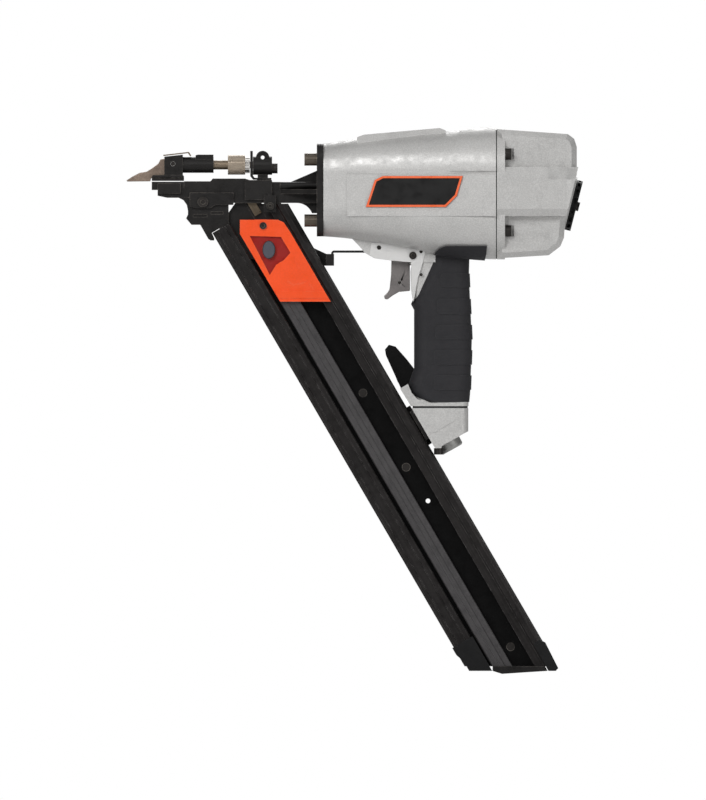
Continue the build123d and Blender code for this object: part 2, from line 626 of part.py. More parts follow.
# ---------------------------------------------------------------- contact arm and depth adjuster
YOKE_X = (83.0, 99.6)
ROD_R = 4.0
WHEEL_X = (61.1, 76.2)
TRIP_Y = (14.2, 16.7)
TRIP_ARM = [
    (86.0, 9.4), (86.0, 11.0), (99.0, 11.0), (103.0, 0.0), (114.0, -27.0), (127.0, -46.0),
    (146.6, -55.2), (153.5, -55.2), (153.5, -65.5), (141.0, -65.5), (119.0, -50.0),
    (104.0, -30.0), (92.0, 0.0),
]

with BuildPart() as contact_yoke:
    rod_x(*YOKE_X, 8.0, z=21.6)
    rod_y(91.4, 28.7, 5.8, -4.5, 4.5)
    block((87.0, 96.0), (-4.5, 4.5), (20.0, 28.0))
    # strap that comes down to the foot on the nosepiece
    prism([(80.6, 34.4), (82.8, 34.4), (83.0, 12.8), (84.4, 11.0), (90.0, 11.0), (90.0, 9.4),
           (83.0, 9.4), (80.6, 12.4)], -7.0, 7.0)
    block((86.0, 99.0), (-9.0, TRIP_Y[1]), (9.4, 11.0))
    block((87.0, 96.0), (-3.0, 3.0), (10.5, 16.0))
    rod_y(91.4, 28.7, 1.6, -6, 6, mode=Mode.SUBTRACT)
    rod_x(79.0, 92.0, 3.05, z=ADJUST_Z, mode=Mode.SUBTRACT)
    rod_x(93.6, 101.0, 2.05, z=19.2, mode=Mode.SUBTRACT)
save(contact_yoke, "contact_yoke")

with BuildPart() as yoke_screw:
    cap_screw(axis_plane(YOKE_X[1], 0, 19.2, (1, 0, 0)), 4.4, 4.8, 2.0, 5.8)
save(yoke_screw, "yoke_screw")

with BuildPart() as trip_arm:
    prism([(86.0, 9.4)] + [(99.0, 9.4)] + TRIP_ARM[3:], *TRIP_Y)
    block((146.6, 153.5), (-5.0, TRIP_Y[1]), (-65.5, -55.2))
save(trip_arm, "trip_arm")

with BuildPart() as trip_wire:
    with BuildLine() as route:
        FilletPolyline((152.0, 0, -55.2), (152.0, 0, WIRE_Z), (191.5, 0, WIRE_Z), radius=1.6)
    with BuildSketch(Plane(origin=route.line @ 0, z_dir=route.line % 0)) as wire:
        Circle(WIRE_R)
    sweep(wire.sketch, path=route.line)
save(trip_wire, "trip_wire")

with BuildPart() as depth_wheel:
    with BuildSketch(Plane.YZ.offset(WHEEL_X[0])) as rim:
        with Locations((0, ADJUST_Z)):
            Circle(8.5)
            with PolarLocations(8.6, 36):
                Circle(0.32, mode=Mode.SUBTRACT)
    extrude(rim.sketch, amount=WHEEL_X[1] - WHEEL_X[0])
    rod_x(WHEEL_X[0] - 1, 74.5, ROD_R + 0.05, z=ADJUST_Z, mode=Mode.SUBTRACT)
    rod_x(WHEEL_X[1], 91.0, 3.0, z=ADJUST_Z)
save(depth_wheel, "depth_wheel")

with BuildPart() as detent_ring:
    with BuildSketch(Plane.YZ.offset(WHEEL_X[1])) as ring:
        with Locations((0, ADJUST_Z)):
            Circle(7.2)
            with PolarLocations(7.6, 12):
                Circle(1.1, mode=Mode.SUBTRACT)
            Circle(3.0, mode=Mode.SUBTRACT)
    extrude(ring.sketch, amount=4.0)
save(detent_ring, "detent_ring")

with BuildPart() as threaded_rod:
    rod_x(38.0, 70.5, ROD_R, z=ADJUST_Z)
save(threaded_rod, "threaded_rod")

with BuildPart() as adjust_tube:
    rod_x(22.0, 48.7, 6.9, z=ADJUST_Z)
    prism([(33.0, 24.0), (33.0, 30.6), (35.0, 31.2), (48.6, 31.2), (48.6, 24.0)], -5.0, 5.0)
    rod_x(38.0, 50.0, ROD_R, z=ADJUST_Z, mode=Mode.SUBTRACT)
save(adjust_tube, "adjust_tube")

PROBE_SLOT_HALF = 4.5
with BuildPart() as probe_holder:
    prism([(5.8, 10.0), (5.8, 29.4), (22.0, 31.2), (22.0, 10.0)], -8.0, 8.0)
    prism([(-5.1, 8.3), (-5.1, 12.4), (-4.0, 13.4), (22.0, 13.4), (23.0, 12.4), (23.0, 8.3)], -9.5, 9.5)
    block((-6.0, 19.2), (-PROBE_SLOT_HALF, PROBE_SLOT_HALF), (10.2, 40.0), mode=Mode.SUBTRACT)
    for side in (-1, 1):
        near, far = sorted((side * 6.0, side * 11.0))
        block((-6.0, 24.0), (near, far), (10.4, 11.2), mode=Mode.SUBTRACT)
    rod_y(*PROBE_PIVOT, 2.0, -12, 12, mode=Mode.SUBTRACT)
save(probe_holder, "probe_holder")

with BuildPart() as probe_pin:
    rod_y(*PROBE_PIVOT, 1.95, -7.6, 7.6)
save(probe_pin, "probe_pin")

with BuildPart() as leaf_spring:
    prism([(5.0, 29.9), (26.4, 32.4), (28.4, 29.6), (29.4, 30.3), (27.2, 33.6), (4.8, 31.0)], -5.5, 5.5)
save(leaf_spring, "leaf_spring")

PROBE_OUTLINE = [
    (-27.1, 8.7), (-21.6, 12.3), (-15.5, 15.4), (-9.4, 16.4), (-3.8, 20.1), (0.6, 23.4),
    (2.5, 27.0), (6.0, 27.6), (16.0, 28.2), (18.2, 25.5), (18.2, 21.0), (14.0, 17.6), (6.0, 10.8),
    (-5.6, 10.6), (-6.4, 7.9), (-26.4, 7.7),
]
with BuildPart() as probe:
    prism(PROBE_OUTLINE, -PROBE_SLOT_HALF + GAP, PROBE_SLOT_HALF - GAP)
    # the claw's nose narrows to a point in plan
    with BuildSketch(Plane.XY.offset(0)) as plan:
        with BuildLine():
            Polyline(
                (-28.0, -0.7), (-28.0, 0.7), (-14.0, 3.4), (-7.0, 4.2), (20.0, 4.2),
                (20.0, -4.2), (-7.0, -4.2), (-14.0, -3.4), close=True,
            )
        make_face()
    extrude(plan.sketch, amount=40, mode=Mode.INTERSECT)
    rod_y(*PROBE_PIVOT, 2.0, -6, 6, mode=Mode.SUBTRACT)
save(probe, "probe")

# ---------------------------------------------------------------- trigger group
CHEEK = [
    (189.2, -46.2), (196.0, -45.4), (203.0, -48.6), (219.4, -58.5), (219.6, -87.4), (210.0, -88.3),
    (204.6, -91.4), (200.0, -94.9), (197.6, -94.4), (197.0, -91.8), (200.2, -88.6), (201.8, -85.7),
    (203.1, -73.5), (203.4, -61.0), (196.0, -55.0), (189.6, -53.4), (188.2, -49.7),
]
WEB = [
    (197.6, -94.4), (197.0, -91.8), (200.2, -88.6), (201.8, -85.7), (203.1, -73.5), (203.4, -61.0),
    (206.0, -61.0), (205.8, -74.0), (204.6, -86.6), (202.0, -90.6), (200.0, -94.9),
]
with BuildPart() as trigger:
    prism(CHEEK, -6.8, -4.6)
    prism(CHEEK, 4.6, 6.8)
    prism(WEB, -5.0, 5.0)
    rod_y(*TRIGGER_PIVOT, 1.95, -8, 8, mode=Mode.SUBTRACT)
    rod_y(*TRIP_PIVOT, 1.6, -8, 8, mode=Mode.SUBTRACT)
save(trigger, "trigger")

with BuildPart() as trigger_pin:
    rod_y(*TRIGGER_PIVOT, 1.9, -17.9, 17.9)
save(trigger_pin, "trigger_pin")

with BuildPart() as trip_pin:
    rod_y(*TRIP_PIVOT, 1.55, -6.9, 6.9)
save(trip_pin, "trip_pin")

with BuildPart() as trip_lever:
    prism(
        [(208.4, -78.0), (213.6, -66.8), (214.6, -61.0), (204.6, -54.6), (201.6, -56.6),
         (200.4, -56.0), (200.0, -51.6), (203.6, -51.0), (216.0, -58.6), (216.9, -61.0),
         (216.9, -66.0), (213.0, -78.0)], -3.9, 3.9,
    )
    rod_y(*TRIP_PIVOT, 3.4, -3.9, 3.9)
    rod_y(*TRIP_PIVOT, 1.6, -8, 8, mode=Mode.SUBTRACT)
save(trip_lever, "trip_lever")

PLUNGER_R = 2.0
with BuildPart() as valve_body:
    rod_x(223.4, 232.0, 6.0, z=VALVE_Z)
    rod_x(231.0, 236.0, 11.5, z=VALVE_Z)
    rod_x(236.0, 256.0, 8.2, z=VALVE_Z)
    rod_x(222.0, 232.0, PLUNGER_R + 0.05, z=VALVE_Z, mode=Mode.SUBTRACT)
    rod_x(231.0, 254.0, 5.0, z=VALVE_Z, mode=Mode.SUBTRACT)
    rod_z(250.0, 0, 2.0, VALVE_Z - 10, VALVE_Z + 10, mode=Mode.SUBTRACT)
save(valve_body, "valve_body")

with BuildPart() as valve_plunger:
    rod_x(218.6, 233.0, PLUNGER_R, z=VALVE_Z)
    rod_x(233.0, 237.0, 4.7, z=VALVE_Z)
save(valve_plunger, "valve_plunger")

with BuildPart() as plunger_spring:
    helix_spring((237.0, 0, VALVE_Z), (1, 0, 0), 3.6, 0.5, 17.0, 7)
save(plunger_spring, "plunger_spring")

with BuildPart() as valve_pins:
    for x, z in VALVE_PINS:
        rod_y(x, z, 1.6, -17.9, 17.9)
save(valve_pins, "valve_pins")

with BuildPart() as side_screws:
    for side in (-1, 1):
        cap_screw(axis_plane(SIDE_SCREW[0], side * 17.6, SIDE_SCREW[1], (0, side, 0)), 3.3, 1.4, 2.0, 4.6)
save(side_screws, "side_screws")

# ---------------------------------------------------------------- handle: grip, end cap, inlet
with BuildPart() as grip_sleeve:
    column(GRIP, GRIP_HALF, GRIP_CORNER)
    grown = [(z, front, rear + PAD_PROUD) for z, front, rear in GRIP]
    with BuildPart(mode=Mode.PRIVATE) as pad_skin:
        column(grown, GRIP_HALF + PAD_PROUD, GRIP_CORNER + PAD_PROUD)
    with BuildPart(mode=Mode.PRIVATE) as pads:
        for top, bottom, front in PADS:
            with BuildSketch(Plane.XZ.offset(-30)) as pad:
                with Locations(((front + PAD_REAR_X) / 2, (top + bottom) / 2)):
                    RectangleRounded(PAD_REAR_X - front, top - bottom, 3.0)
            extrude(pad.sketch, amount=60)
    add(pad_skin.part & pads.part)
    with BuildPart(mode=Mode.PRIVATE) as saddle_skin:
        barrel([200.0, 262.0, GASKET_X], 1.6)
    with BuildPart(mode=Mode.PRIVATE) as saddle_side:
        prism(SADDLE, -60.0, 60.0)
    add(saddle_skin.part & saddle_side.part)
    barrel([s[0] for s in BARREL], 0, mode=Mode.SUBTRACT)
    column(HANDLE, HANDLE_HALF, HANDLE_CORNER, mode=Mode.SUBTRACT)
    prism(TRIGGER_BAY, -17.0, 17.0, mode=Mode.SUBTRACT)
    prism(PIN_PANEL, -17.6, 17.6, mode=Mode.SUBTRACT)
    add(foot.part & foot_plan, mode=Mode.SUBTRACT)
save(grip_sleeve, "grip_sleeve")


def seat_x(z, u=SEAT_U):
    """x on the line that runs along the magazine at u across it."""
    t = radians(MAG_TILT)
    return MAG_ORIGIN[0] + (u - (z - MAG_ORIGIN[1]) * sin(t)) / cos(t)


END_CAP_OUTLINE = [
    (seat_x(END_CAP_Z), END_CAP_Z), (270.3, END_CAP_Z), (270.3, -209.5), (266.0, -211.8),
    (262.6, -213.8), (247.4, -222.2), (246.8, -224.2), (241.4, -224.2), (seat_x(-221.0), -221.0),
]
with BuildPart() as end_cap:
    with BuildPart(mode=Mode.PRIVATE) as end_cap_blank:
        prism(END_CAP_OUTLINE, -FOOT_HALF, FOOT_HALF)
    add(end_cap_blank.part & rounded_plan(200.0, 270.3, FOOT_HALF, FOOT_CORNER, -230.0, -180.0))
    for side in (-1, 1):
        near, far = sorted((side * (FOOT_HALF - 0.5), side * (FOOT_HALF + 1)))
        engrave([(262.0, -198.4), (241.9, -210.5), (236.0, -210.2)], 0.7, near, far)
    block((PASSAGE[0] + 4, PASSAGE[1]), (-PASSAGE[2], PASSAGE[2]), (-204.0, END_CAP_Z + 1), mode=Mode.SUBTRACT)
    with BuildSketch(axis_plane(*INLET_SEAT, INLET_DIR)) as bore:
        Circle(9.6)
    extrude(bore.sketch, amount=-16, mode=Mode.SUBTRACT)
    with BuildSketch(axis_plane(*INLET_SEAT, INLET_DIR)) as collar_room:
        Circle(10.7)
    extrude(collar_room.sketch, amount=20, mode=Mode.SUBTRACT)
    for x, y in END_BOLTS:
        rod_z(x, y, 2.2, -226.0, END_CAP_Z + 1, mode=Mode.SUBTRACT)
    rod_y(*HOOK_PIVOT, 2.6, 11.0, 20.0, mode=Mode.SUBTRACT)
    for v in BRACKET_SCREW_V:
        with BuildSketch(across_plane(SEAT_U, v)) as hole:
            Circle(1.75)
        extrude(hole.sketch, amount=-7.5, mode=Mode.SUBTRACT)
save(end_cap, "end_cap")

with BuildPart() as gaskets:
    with BuildPart(mode=Mode.PRIVATE) as foot_gasket:
        block((seat_x(END_CAP_Z) + 0.8, 300.0), (-18.0, 18.0), (END_CAP_Z, HANDLE_END_Z))
    add(foot_gasket.part & rounded_plan(200.0, 269.8, 18.0, FOOT_CORNER - 0.5, -200.0, -180.0))
    block((PASSAGE[0], PASSAGE[1]), (-PASSAGE[2], PASSAGE[2]), (-200.0, -180.0), mode=Mode.SUBTRACT)
    for x, y in END_BOLTS:
        rod_z(x, y, 2.2, -200.0, -180.0, mode=Mode.SUBTRACT)
    with BuildSketch(Plane.YZ.offset(GASKET_X)) as ring:
        with Locations((0, (low + high) / 2)):
            RectangleRounded(width - 1, high - low - 1, corner - 0.5)
            RectangleRounded(width - 16, high - low - 16, corner - 8, mode=Mode.SUBTRACT)
    extrude(ring.sketch, amount=CAP_X - GASKET_X)
    for y, z in CAP_BOLTS:
        rod_x(GASKET_X - 1, CAP_X + 1, 3.1, y, z, mode=Mode.SUBTRACT)
save(gaskets, "gaskets")

with BuildPart() as end_bolts:
    for x, y in END_BOLTS:
        cap_screw(axis_plane(x, y, -224.2, (0, 0, -1)), 4.2, 5.6, 2.1, 49.0)
save(end_bolts, "end_bolts")

INLET_PROUD = 7.3
with BuildPart() as inlet_bushing:
    with BuildSketch(axis_plane(*INLET_SEAT, INLET_DIR)) as collar_face:
        Circle(10.6)
    collar_body = extrude(collar_face.sketch, amount=INLET_PROUD)
    fillet(collar_body.edges().filter_by(GeomType.CIRCLE).sort_by(Axis.Z)[0], 2.2)
    with BuildSketch(axis_plane(*INLET_SEAT, INLET_DIR)) as stem:
        Circle(9.6)
    extrude(stem.sketch, amount=-14)
    with BuildSketch(axis_plane(*INLET_SEAT, INLET_DIR).offset(INLET_PROUD + 1)) as inlet_bore:
        Circle(INLET_R)
    extrude(inlet_bore.sketch, amount=-24, mode=Mode.SUBTRACT)
save(inlet_bushing, "inlet_bushing")

# ---------------------------------------------------------------- rafter hook
with BuildPart() as rafter_hook:
    prism([(246.0, -211.0), (256.0, -209.4), (258.4, -200.0), (254.0, -194.4), (216.5, -146.5),
           (207.0, -135.8), (201.2, -134.2), (197.8, -138.4), (198.6, -143.4), (211.4, -171.6),
           (241.6, -206.0)], 20.0, 24.0)
    prism([(201.2, -134.2), (197.8, -138.4), (202.6, -152.0), (206.8, -150.6), (205.4, -137.4)],
          20.0, 54.0)
    prism([(201.2, -134.2), (197.8, -138.4), (209.0, -167.0), (216.0, -164.0), (213.0, -146.0),
           (207.0, -135.8)], 50.0, 54.0)
    rod_y(*HOOK_PIVOT, 3.05, 19.0, 25.0, mode=Mode.SUBTRACT)
save(rafter_hook, "rafter_hook")

with BuildPart() as hook_screw:
    cap_screw(axis_plane(HOOK_PIVOT[0], 24.4, HOOK_PIVOT[1], (0, 1, 0)), 6.4, 4.4, 3.0, 5.9)
    rod_y(*HOOK_PIVOT, 2.55, 12.0, FOOT_HALF + 0.01)
    rod_y(*HOOK_PIVOT, 7.0, FOOT_HALF, 19.7)
save(hook_screw, "hook_screw")

# ---------------------------------------------------------------- magazine
FRONT_RAIL_U = 17.3        # inner edge of the front rail
BAR_U = (20.6, 36.2)       # the lighter bar
BAR_W = (4.3, 8.2)         # its back and its face, towards the open side
LEDGE_U = 53.0             # inner edge of the rear rail
ROUND_U = 60.0             # where the rear rail's round part starts
LEDGE_W = 8.0
WEB_W = (-9.0, -NAIL_SLOT_HALF)


def countersunk(u, v, w_face, w_end, mode=Mode.ADD, grow=0.0):
    """A countersunk screw through the web, its flat head level with w_face."""
    x, z = mag_point(u, v)
    with BuildSketch(Plane.XZ.offset(w_face)) as head:
        with Locations((x, z)):
            Circle(3.6 + grow)
    extrude(head.sketch, amount=-2.2, taper=32, mode=mode)
    rod_y(x, z, 1.9 + grow, -w_face, -w_end, mode=mode)


with BuildPart() as magazine_channel:
    with BuildSketch(mag_plane(MAG_BLANK[0])) as rails:
        with BuildLine():
            Polyline(
                (0.0, -MAG_HALF + 2), (2.0, -MAG_HALF), (FRONT_RAIL_U, -MAG_HALF),
                (FRONT_RAIL_U, WEB_W[0]), (LEDGE_U, WEB_W[0]), (LEDGE_U, -MAG_HALF),
                (MAG_WIDTH - 4, -MAG_HALF), (MAG_WIDTH, -MAG_HALF + 4), (MAG_WIDTH, MAG_HALF - 4),
                (MAG_WIDTH - 1.2, MAG_HALF - 1.2), (MAG_WIDTH - 4, MAG_HALF),
                (ROUND_U + 1.6, MAG_HALF), (ROUND_U, MAG_HALF - 1.4), (ROUND_U, LEDGE_W),
                (LEDGE_U, LEDGE_W), (LEDGE_U, NAIL_SLOT_HALF), (LEDGE_U + 9, NAIL_SLOT_HALF),
                (LEDGE_U + 9, WEB_W[1]), (6.0, WEB_W[1]), (6.0, NAIL_SLOT_HALF),
                (FRONT_RAIL_U, NAIL_SLOT_HALF), (FRONT_RAIL_U, MAG_HALF - 1), (FRONT_RAIL_U - 1, MAG_HALF),
                (12.6, MAG_HALF), (12.0, MAG_HALF - 0.8), (5.0, MAG_HALF - 0.8), (4.4, MAG_HALF),
                (1.6, MAG_HALF), (0.0, MAG_HALF - 1.6), close=True,
            )
        make_face()
    extrude(rails.sketch, amount=MAG_BLANK[1])
    # ends: the front rail is cut square, the rear rail runs up level under the neck
    prism(
        mag_outline([(-20.0, 0.0), (18.6, 0.0), (18.6, -3.5), (37.5, -3.5), (37.5, -80.0), (-20.0, -80.0)]),
        -20.0, 20.0, mode=Mode.SUBTRACT,
    )
    block((-100.0, 300.0), (-20.0, 20.0), (MAG_TOP_Z, 200.0), mode=Mode.SUBTRACT)
    block((100.0, 600.0), (-20.0, 20.0), (-700.0, MAG_END_Z), mode=Mode.SUBTRACT)
    rod_y(*mag_point(*TIE_HOLE[:2]), TIE_HOLE[2], -20, 20, mode=Mode.SUBTRACT)
    for u, v in WEB_SCREWS:
        countersunk(u, v, WEB_W[1], -12.0, Mode.SUBTRACT, 0.02)
    rod_y(*CLIP_SCREW, 1.9, -9.2, -6.0, mode=Mode.SUBTRACT)
save(magazine_channel, "magazine_channel")

with BuildPart() as nail_rail:
    with BuildSketch(mag_plane(MAG_BLANK[0])) as bar:
        with BuildLine():
            Polyline(
                (BAR_U[0], BAR_W[0]), (BAR_U[0], BAR_W[1] - 0.8), (BAR_U[0] + 0.8, BAR_W[1]),
                (26.0, BAR_W[1]), (26.6, BAR_W[1] - 0.7), (30.4, BAR_W[1] - 0.7), (31.0, BAR_W[1]),
                (BAR_U[1] - 0.8, BAR_W[1]), (BAR_U[1], BAR_W[1] - 0.8), (BAR_U[1], BAR_W[0]), close=True,
            )
        make_face()
    extrude(bar.sketch, amount=MAG_BLANK[1])
    prism(mag_outline([(10.0, 27.0), (50.0, 27.0), (50.0, -60.0), (10.0, -60.0)]), -20.0, 0.0,
          mode=Mode.SUBTRACT)
    block((100.0, 600.0), (-20.0, 20.0), (-700.0, MAG_END_Z), mode=Mode.SUBTRACT)
save(nail_rail, "nail_rail")

with BuildPart() as spring_strip:
    mag_run([(39.4, 4.6), (46.0, 4.6), (46.0, 5.2), (39.4, 5.2)], -12.0, 6.0)
    block((74.0, 92.0), (-7.0, 2.0), (-10.9, 0.0), mode=Mode.SUBTRACT)
save(spring_strip, "spring_strip")

with BuildPart() as magazine_bracket:
    # plate on the web's far side, a tongue over the rear rail, and a seat on the end cap
    mag_run([(30.0, -9.05), (52.0, -9.05), (52.0, -11.9), (30.0, -11.9)], 176.0, 271.0)
    mag_run([(30.0, -11.2), (SEAT_U, -11.2), (SEAT_U, -13.8), (30.0, -13.8)], 216.0, 254.0)
    mag_run([(MAG_WIDTH + 0.3, -13.8), (SEAT_U, -13.8), (SEAT_U, 8.0), (MAG_WIDTH + 0.3, 8.0)], 221.0, 249.0)
    for u, v in WEB_SCREWS[:2]:
        rod_y(*mag_point(u, v), 1.92, 8.0, 13.0, mode=Mode.SUBTRACT)
    for v in BRACKET_SCREW_V:
        with BuildSketch(across_plane(SEAT_U, v)) as hole:
            Circle(1.75)
        extrude(hole.sketch, amount=4, mode=Mode.SUBTRACT)
save(magazine_bracket, "magazine_bracket")

with BuildPart() as magazine_screws:
    for u, v in WEB_SCREWS:
        countersunk(u, v, WEB_W[1], -11.9)
    for v in BRACKET_SCREW_V:
        with BuildSketch(across_plane(MAG_WIDTH + 0.4, v)) as stem:
            Circle(1.7)
        extrude(stem.sketch, amount=-9.6)
save(magazine_screws, "magazine_screws")

with BuildPart() as magazine_feet:
    prism([mag_point(-1.3, 417.0), mag_point(-1.3, 424.0), (266.4, -410.0), (271.0, -418.0),
           (291.2, -418.0), mag_point(19.0, 417.0)], -12.3, 12.3)
    prism([mag_point(61.6, 449.0), mag_point(68.4, 449.0), mag_point(71.2, 453.5),
           (348.6, -415.6), (346.4, -418.0), (340.0, -418.0)], -12.3, 12.3)
    add(magazine_channel.part, mode=Mode.SUBTRACT)
save(magazine_feet, "magazine_feet")

with BuildPart() as bottom_plate:
    prism([(291.4, MAG_END_Z), (337.2, MAG_END_Z), (339.4, -418.0), (299.6, -420.6), (291.4, -418.0)],
          -10.5, 10.5)
    mag_run([(36.0, -9.05), (50.0, -9.05), (50.0, -12.0), (36.0, -12.0)], 430.0, 460.0)
    block((240.0, 400.0), (11.0, 20.0), (-430.0, MAG_END_Z), mode=Mode.SUBTRACT)
    rod_y(*mag_point(*WEB_SCREWS[2]), 1.92, 8.0, 13.0, mode=Mode.SUBTRACT)
save(bottom_plate, "bottom_plate")

# ---------------------------------------------------------------- follower
FOLLOWER = [
    (71.6, -25.5), (104.7, -25.5), (109.8, -27.8), (115.6, -36.5), (150.6, -96.7),
    (106.6, -96.7), (71.6, -37.8),
]
WINDOW = [
    (80.2, -39.6), (107.4, -40.4), (115.6, -54.2), (110.0, -60.5), (103.2, -64.6), (97.6, -73.6),
]
BUTTON_AT = (96.8, -51.6)
BUTTON_TRAVEL = 2.5
FOLLOWER_Y = (-13.2, -8.6)     # face and back of the follower
FOLLOWER_SCREW = (91.8, -30.7)
ROLL_AT = mag_point(45.0, 50.0)

with BuildPart() as follower:
    prism(FOLLOWER, *FOLLOWER_Y)
    prism(WINDOW, -14.0, -10.8, mode=Mode.SUBTRACT)
    # keel that reaches through the open slot to the pusher
    prism(mag_outline([(37.6, 8.0), (51.4, 16.0), (51.4, 38.0), (37.6, 38.0)]), -9.0, -3.5)
    with BuildSketch(Plane.XZ.offset(3.0)) as button_hole:
        with Locations(BUTTON_AT):
            Ellipse(5.7, 7.9)
    extrude(button_hole.sketch, amount=14.0, mode=Mode.SUBTRACT)
    rod_y(*FOLLOWER_SCREW, 1.8, -14.0, -8.0, mode=Mode.SUBTRACT)
    # moulded lines in the face
    engrave([(119.0, -60.0), (123.0, -67.5)], 0.7, -14.0, -12.7)
    engrave([(113.5, -79.0), (118.0, -82.0), (126.5, -80.5), (130.8, -78.3), (136.5, -87.2)], 0.7, -14.0, -12.7)
    # raised grip edge across the lower end
    prism([(142.0, -87.6), (145.2, -87.6), (148.8, -93.8), (106.4, -93.8), (102.8, -87.6)], -14.2, -13.0)
save(follower, "follower")

with BuildPart() as follower_screw:
    cap_screw(axis_plane(FOLLOWER_SCREW[0], FOLLOWER_Y[0], FOLLOWER_SCREW[1], (0, -1, 0)), 3.1, 1.6, 1.75, 4.4)
save(follower_screw, "follower_screw")

with BuildPart() as follower_button:
    with BuildSketch(Plane.XZ.offset(11.0)) as oval:
        with Locations(BUTTON_AT):
            Ellipse(5.4, 7.6)
    extrude(oval.sketch, amount=4.6)
    chamfer(follower_button.edges().group_by(Axis.Y)[0], 0.8)
save(follower_button, "follower_button")

with BuildPart() as nail_pusher:
    prism(
        [mag_point(7.2, -2.0), (70.0, -7.4), (90.5, -7.4), (90.5, -11.4), mag_point(60.6, 14.0),
         mag_point(60.6, 62.0), mag_point(7.2, 30.0)], -3.5, 3.5,
    )
    # bay for the coiled strip spring
    rod_y(*ROLL_AT, 8.6, -5, 5, mode=Mode.SUBTRACT)
    prism(mag_outline([(38.0, -20.0), (47.2, -20.0), (47.2, 46.0), (38.0, 46.0)]), -5.0, -2.4,
          mode=Mode.SUBTRACT)
save(nail_pusher, "nail_pusher")

with BuildPart() as follower_spring:
    rod_y(*ROLL_AT, 8.4, -3.4, 3.4)
    rod_y(*ROLL_AT, 4.4, -4, 4, mode=Mode.SUBTRACT)
save(follower_spring, "follower_spring")

# ---------------------------------------------------------------- badge on the housing
BADGE_PLATE = [(181.3, -14.4), (189.1, 9.1), (196.1, 12.6), (265.7, 12.6), (260.5, -4.8), (250.9, -14.4)]
with BuildPart() as badge:
    slope = degrees(atan(BAND_SLOPE))
    near = Plane(
        origin=(BAND_START[0], -BAND_START[1], 0), x_dir=(cos(radians(slope)), -sin(radians(slope)), 0),
        z_dir=(-sin(radians(slope)), -cos(radians(slope)), 0),
    )
    with BuildSketch(near) as plate:
        with BuildLine():
            Polyline(*[((x - BAND_START[0]) / cos(radians(slope)), z) for x, z in BADGE_PLATE], close=True)
        make_face()
    extrude(plate.sketch, amount=1.2)
save(badge, "badge")
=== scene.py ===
"""Pneumatic nail gun: finishes, surface detail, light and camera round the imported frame."""
import json
import math

import bmesh
import bpy
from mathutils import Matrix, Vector


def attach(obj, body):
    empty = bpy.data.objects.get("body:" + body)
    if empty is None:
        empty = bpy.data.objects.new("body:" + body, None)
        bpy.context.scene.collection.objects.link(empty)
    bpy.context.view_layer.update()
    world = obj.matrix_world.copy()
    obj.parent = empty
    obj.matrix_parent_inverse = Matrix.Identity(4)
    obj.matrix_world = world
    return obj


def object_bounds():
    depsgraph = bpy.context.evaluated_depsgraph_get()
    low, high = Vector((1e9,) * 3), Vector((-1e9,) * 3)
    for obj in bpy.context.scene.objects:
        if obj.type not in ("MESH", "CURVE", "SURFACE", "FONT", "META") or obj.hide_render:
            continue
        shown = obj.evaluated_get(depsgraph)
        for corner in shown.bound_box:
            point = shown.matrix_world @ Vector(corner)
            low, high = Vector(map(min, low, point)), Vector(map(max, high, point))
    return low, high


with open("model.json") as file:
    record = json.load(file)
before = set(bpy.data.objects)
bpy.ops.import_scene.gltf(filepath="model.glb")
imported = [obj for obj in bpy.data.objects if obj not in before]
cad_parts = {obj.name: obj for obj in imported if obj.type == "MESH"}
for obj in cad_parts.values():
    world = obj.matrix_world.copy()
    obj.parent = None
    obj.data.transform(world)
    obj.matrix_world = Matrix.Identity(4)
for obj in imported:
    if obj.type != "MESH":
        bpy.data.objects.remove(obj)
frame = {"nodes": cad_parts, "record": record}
cad_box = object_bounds()
nodes = frame["nodes"]

MM = 0.001
MAG_TILT = math.radians(30.2)    # the magazine's lean back from upright

# how surfaces age, where edge highlight and recess shade are painted, and how finely their detail is drawn
EDGE_FLAT = 0.995       # cosine between true and rounded normal where the edge wear and its painted highlight begin
EDGE_SHARP = 0.90       # and where it is full
SPREAD = (0.3, 0.7)     # the part of a noise's range that is drawn out to full contrast
SPECK_GAIN = 1.9        # a speck's brightness against its ground
STREAK_RELIEF = 1.5     # a streak's height against the grain's
WEAR_AND_HIGHLIGHT_SCALE = 140.0      # size of the patches that break up the edge wear and painted highlight, per metre
PIT_SCALE = 260.0       # casting pits, per metre
WEAR_POLISH = 0.12      # how much smoother a worn edge is
COAT_ROUGHNESS = 0.25
PANEL_TOLERANCE = 0.2   # how near a lighter flat pad's face counts, mm
FRONT_FACING = -0.5     # a normal's y, below which a face looks at the open side
WELD = 0.02             # vertices nearer than this are joined before bevelling, mm


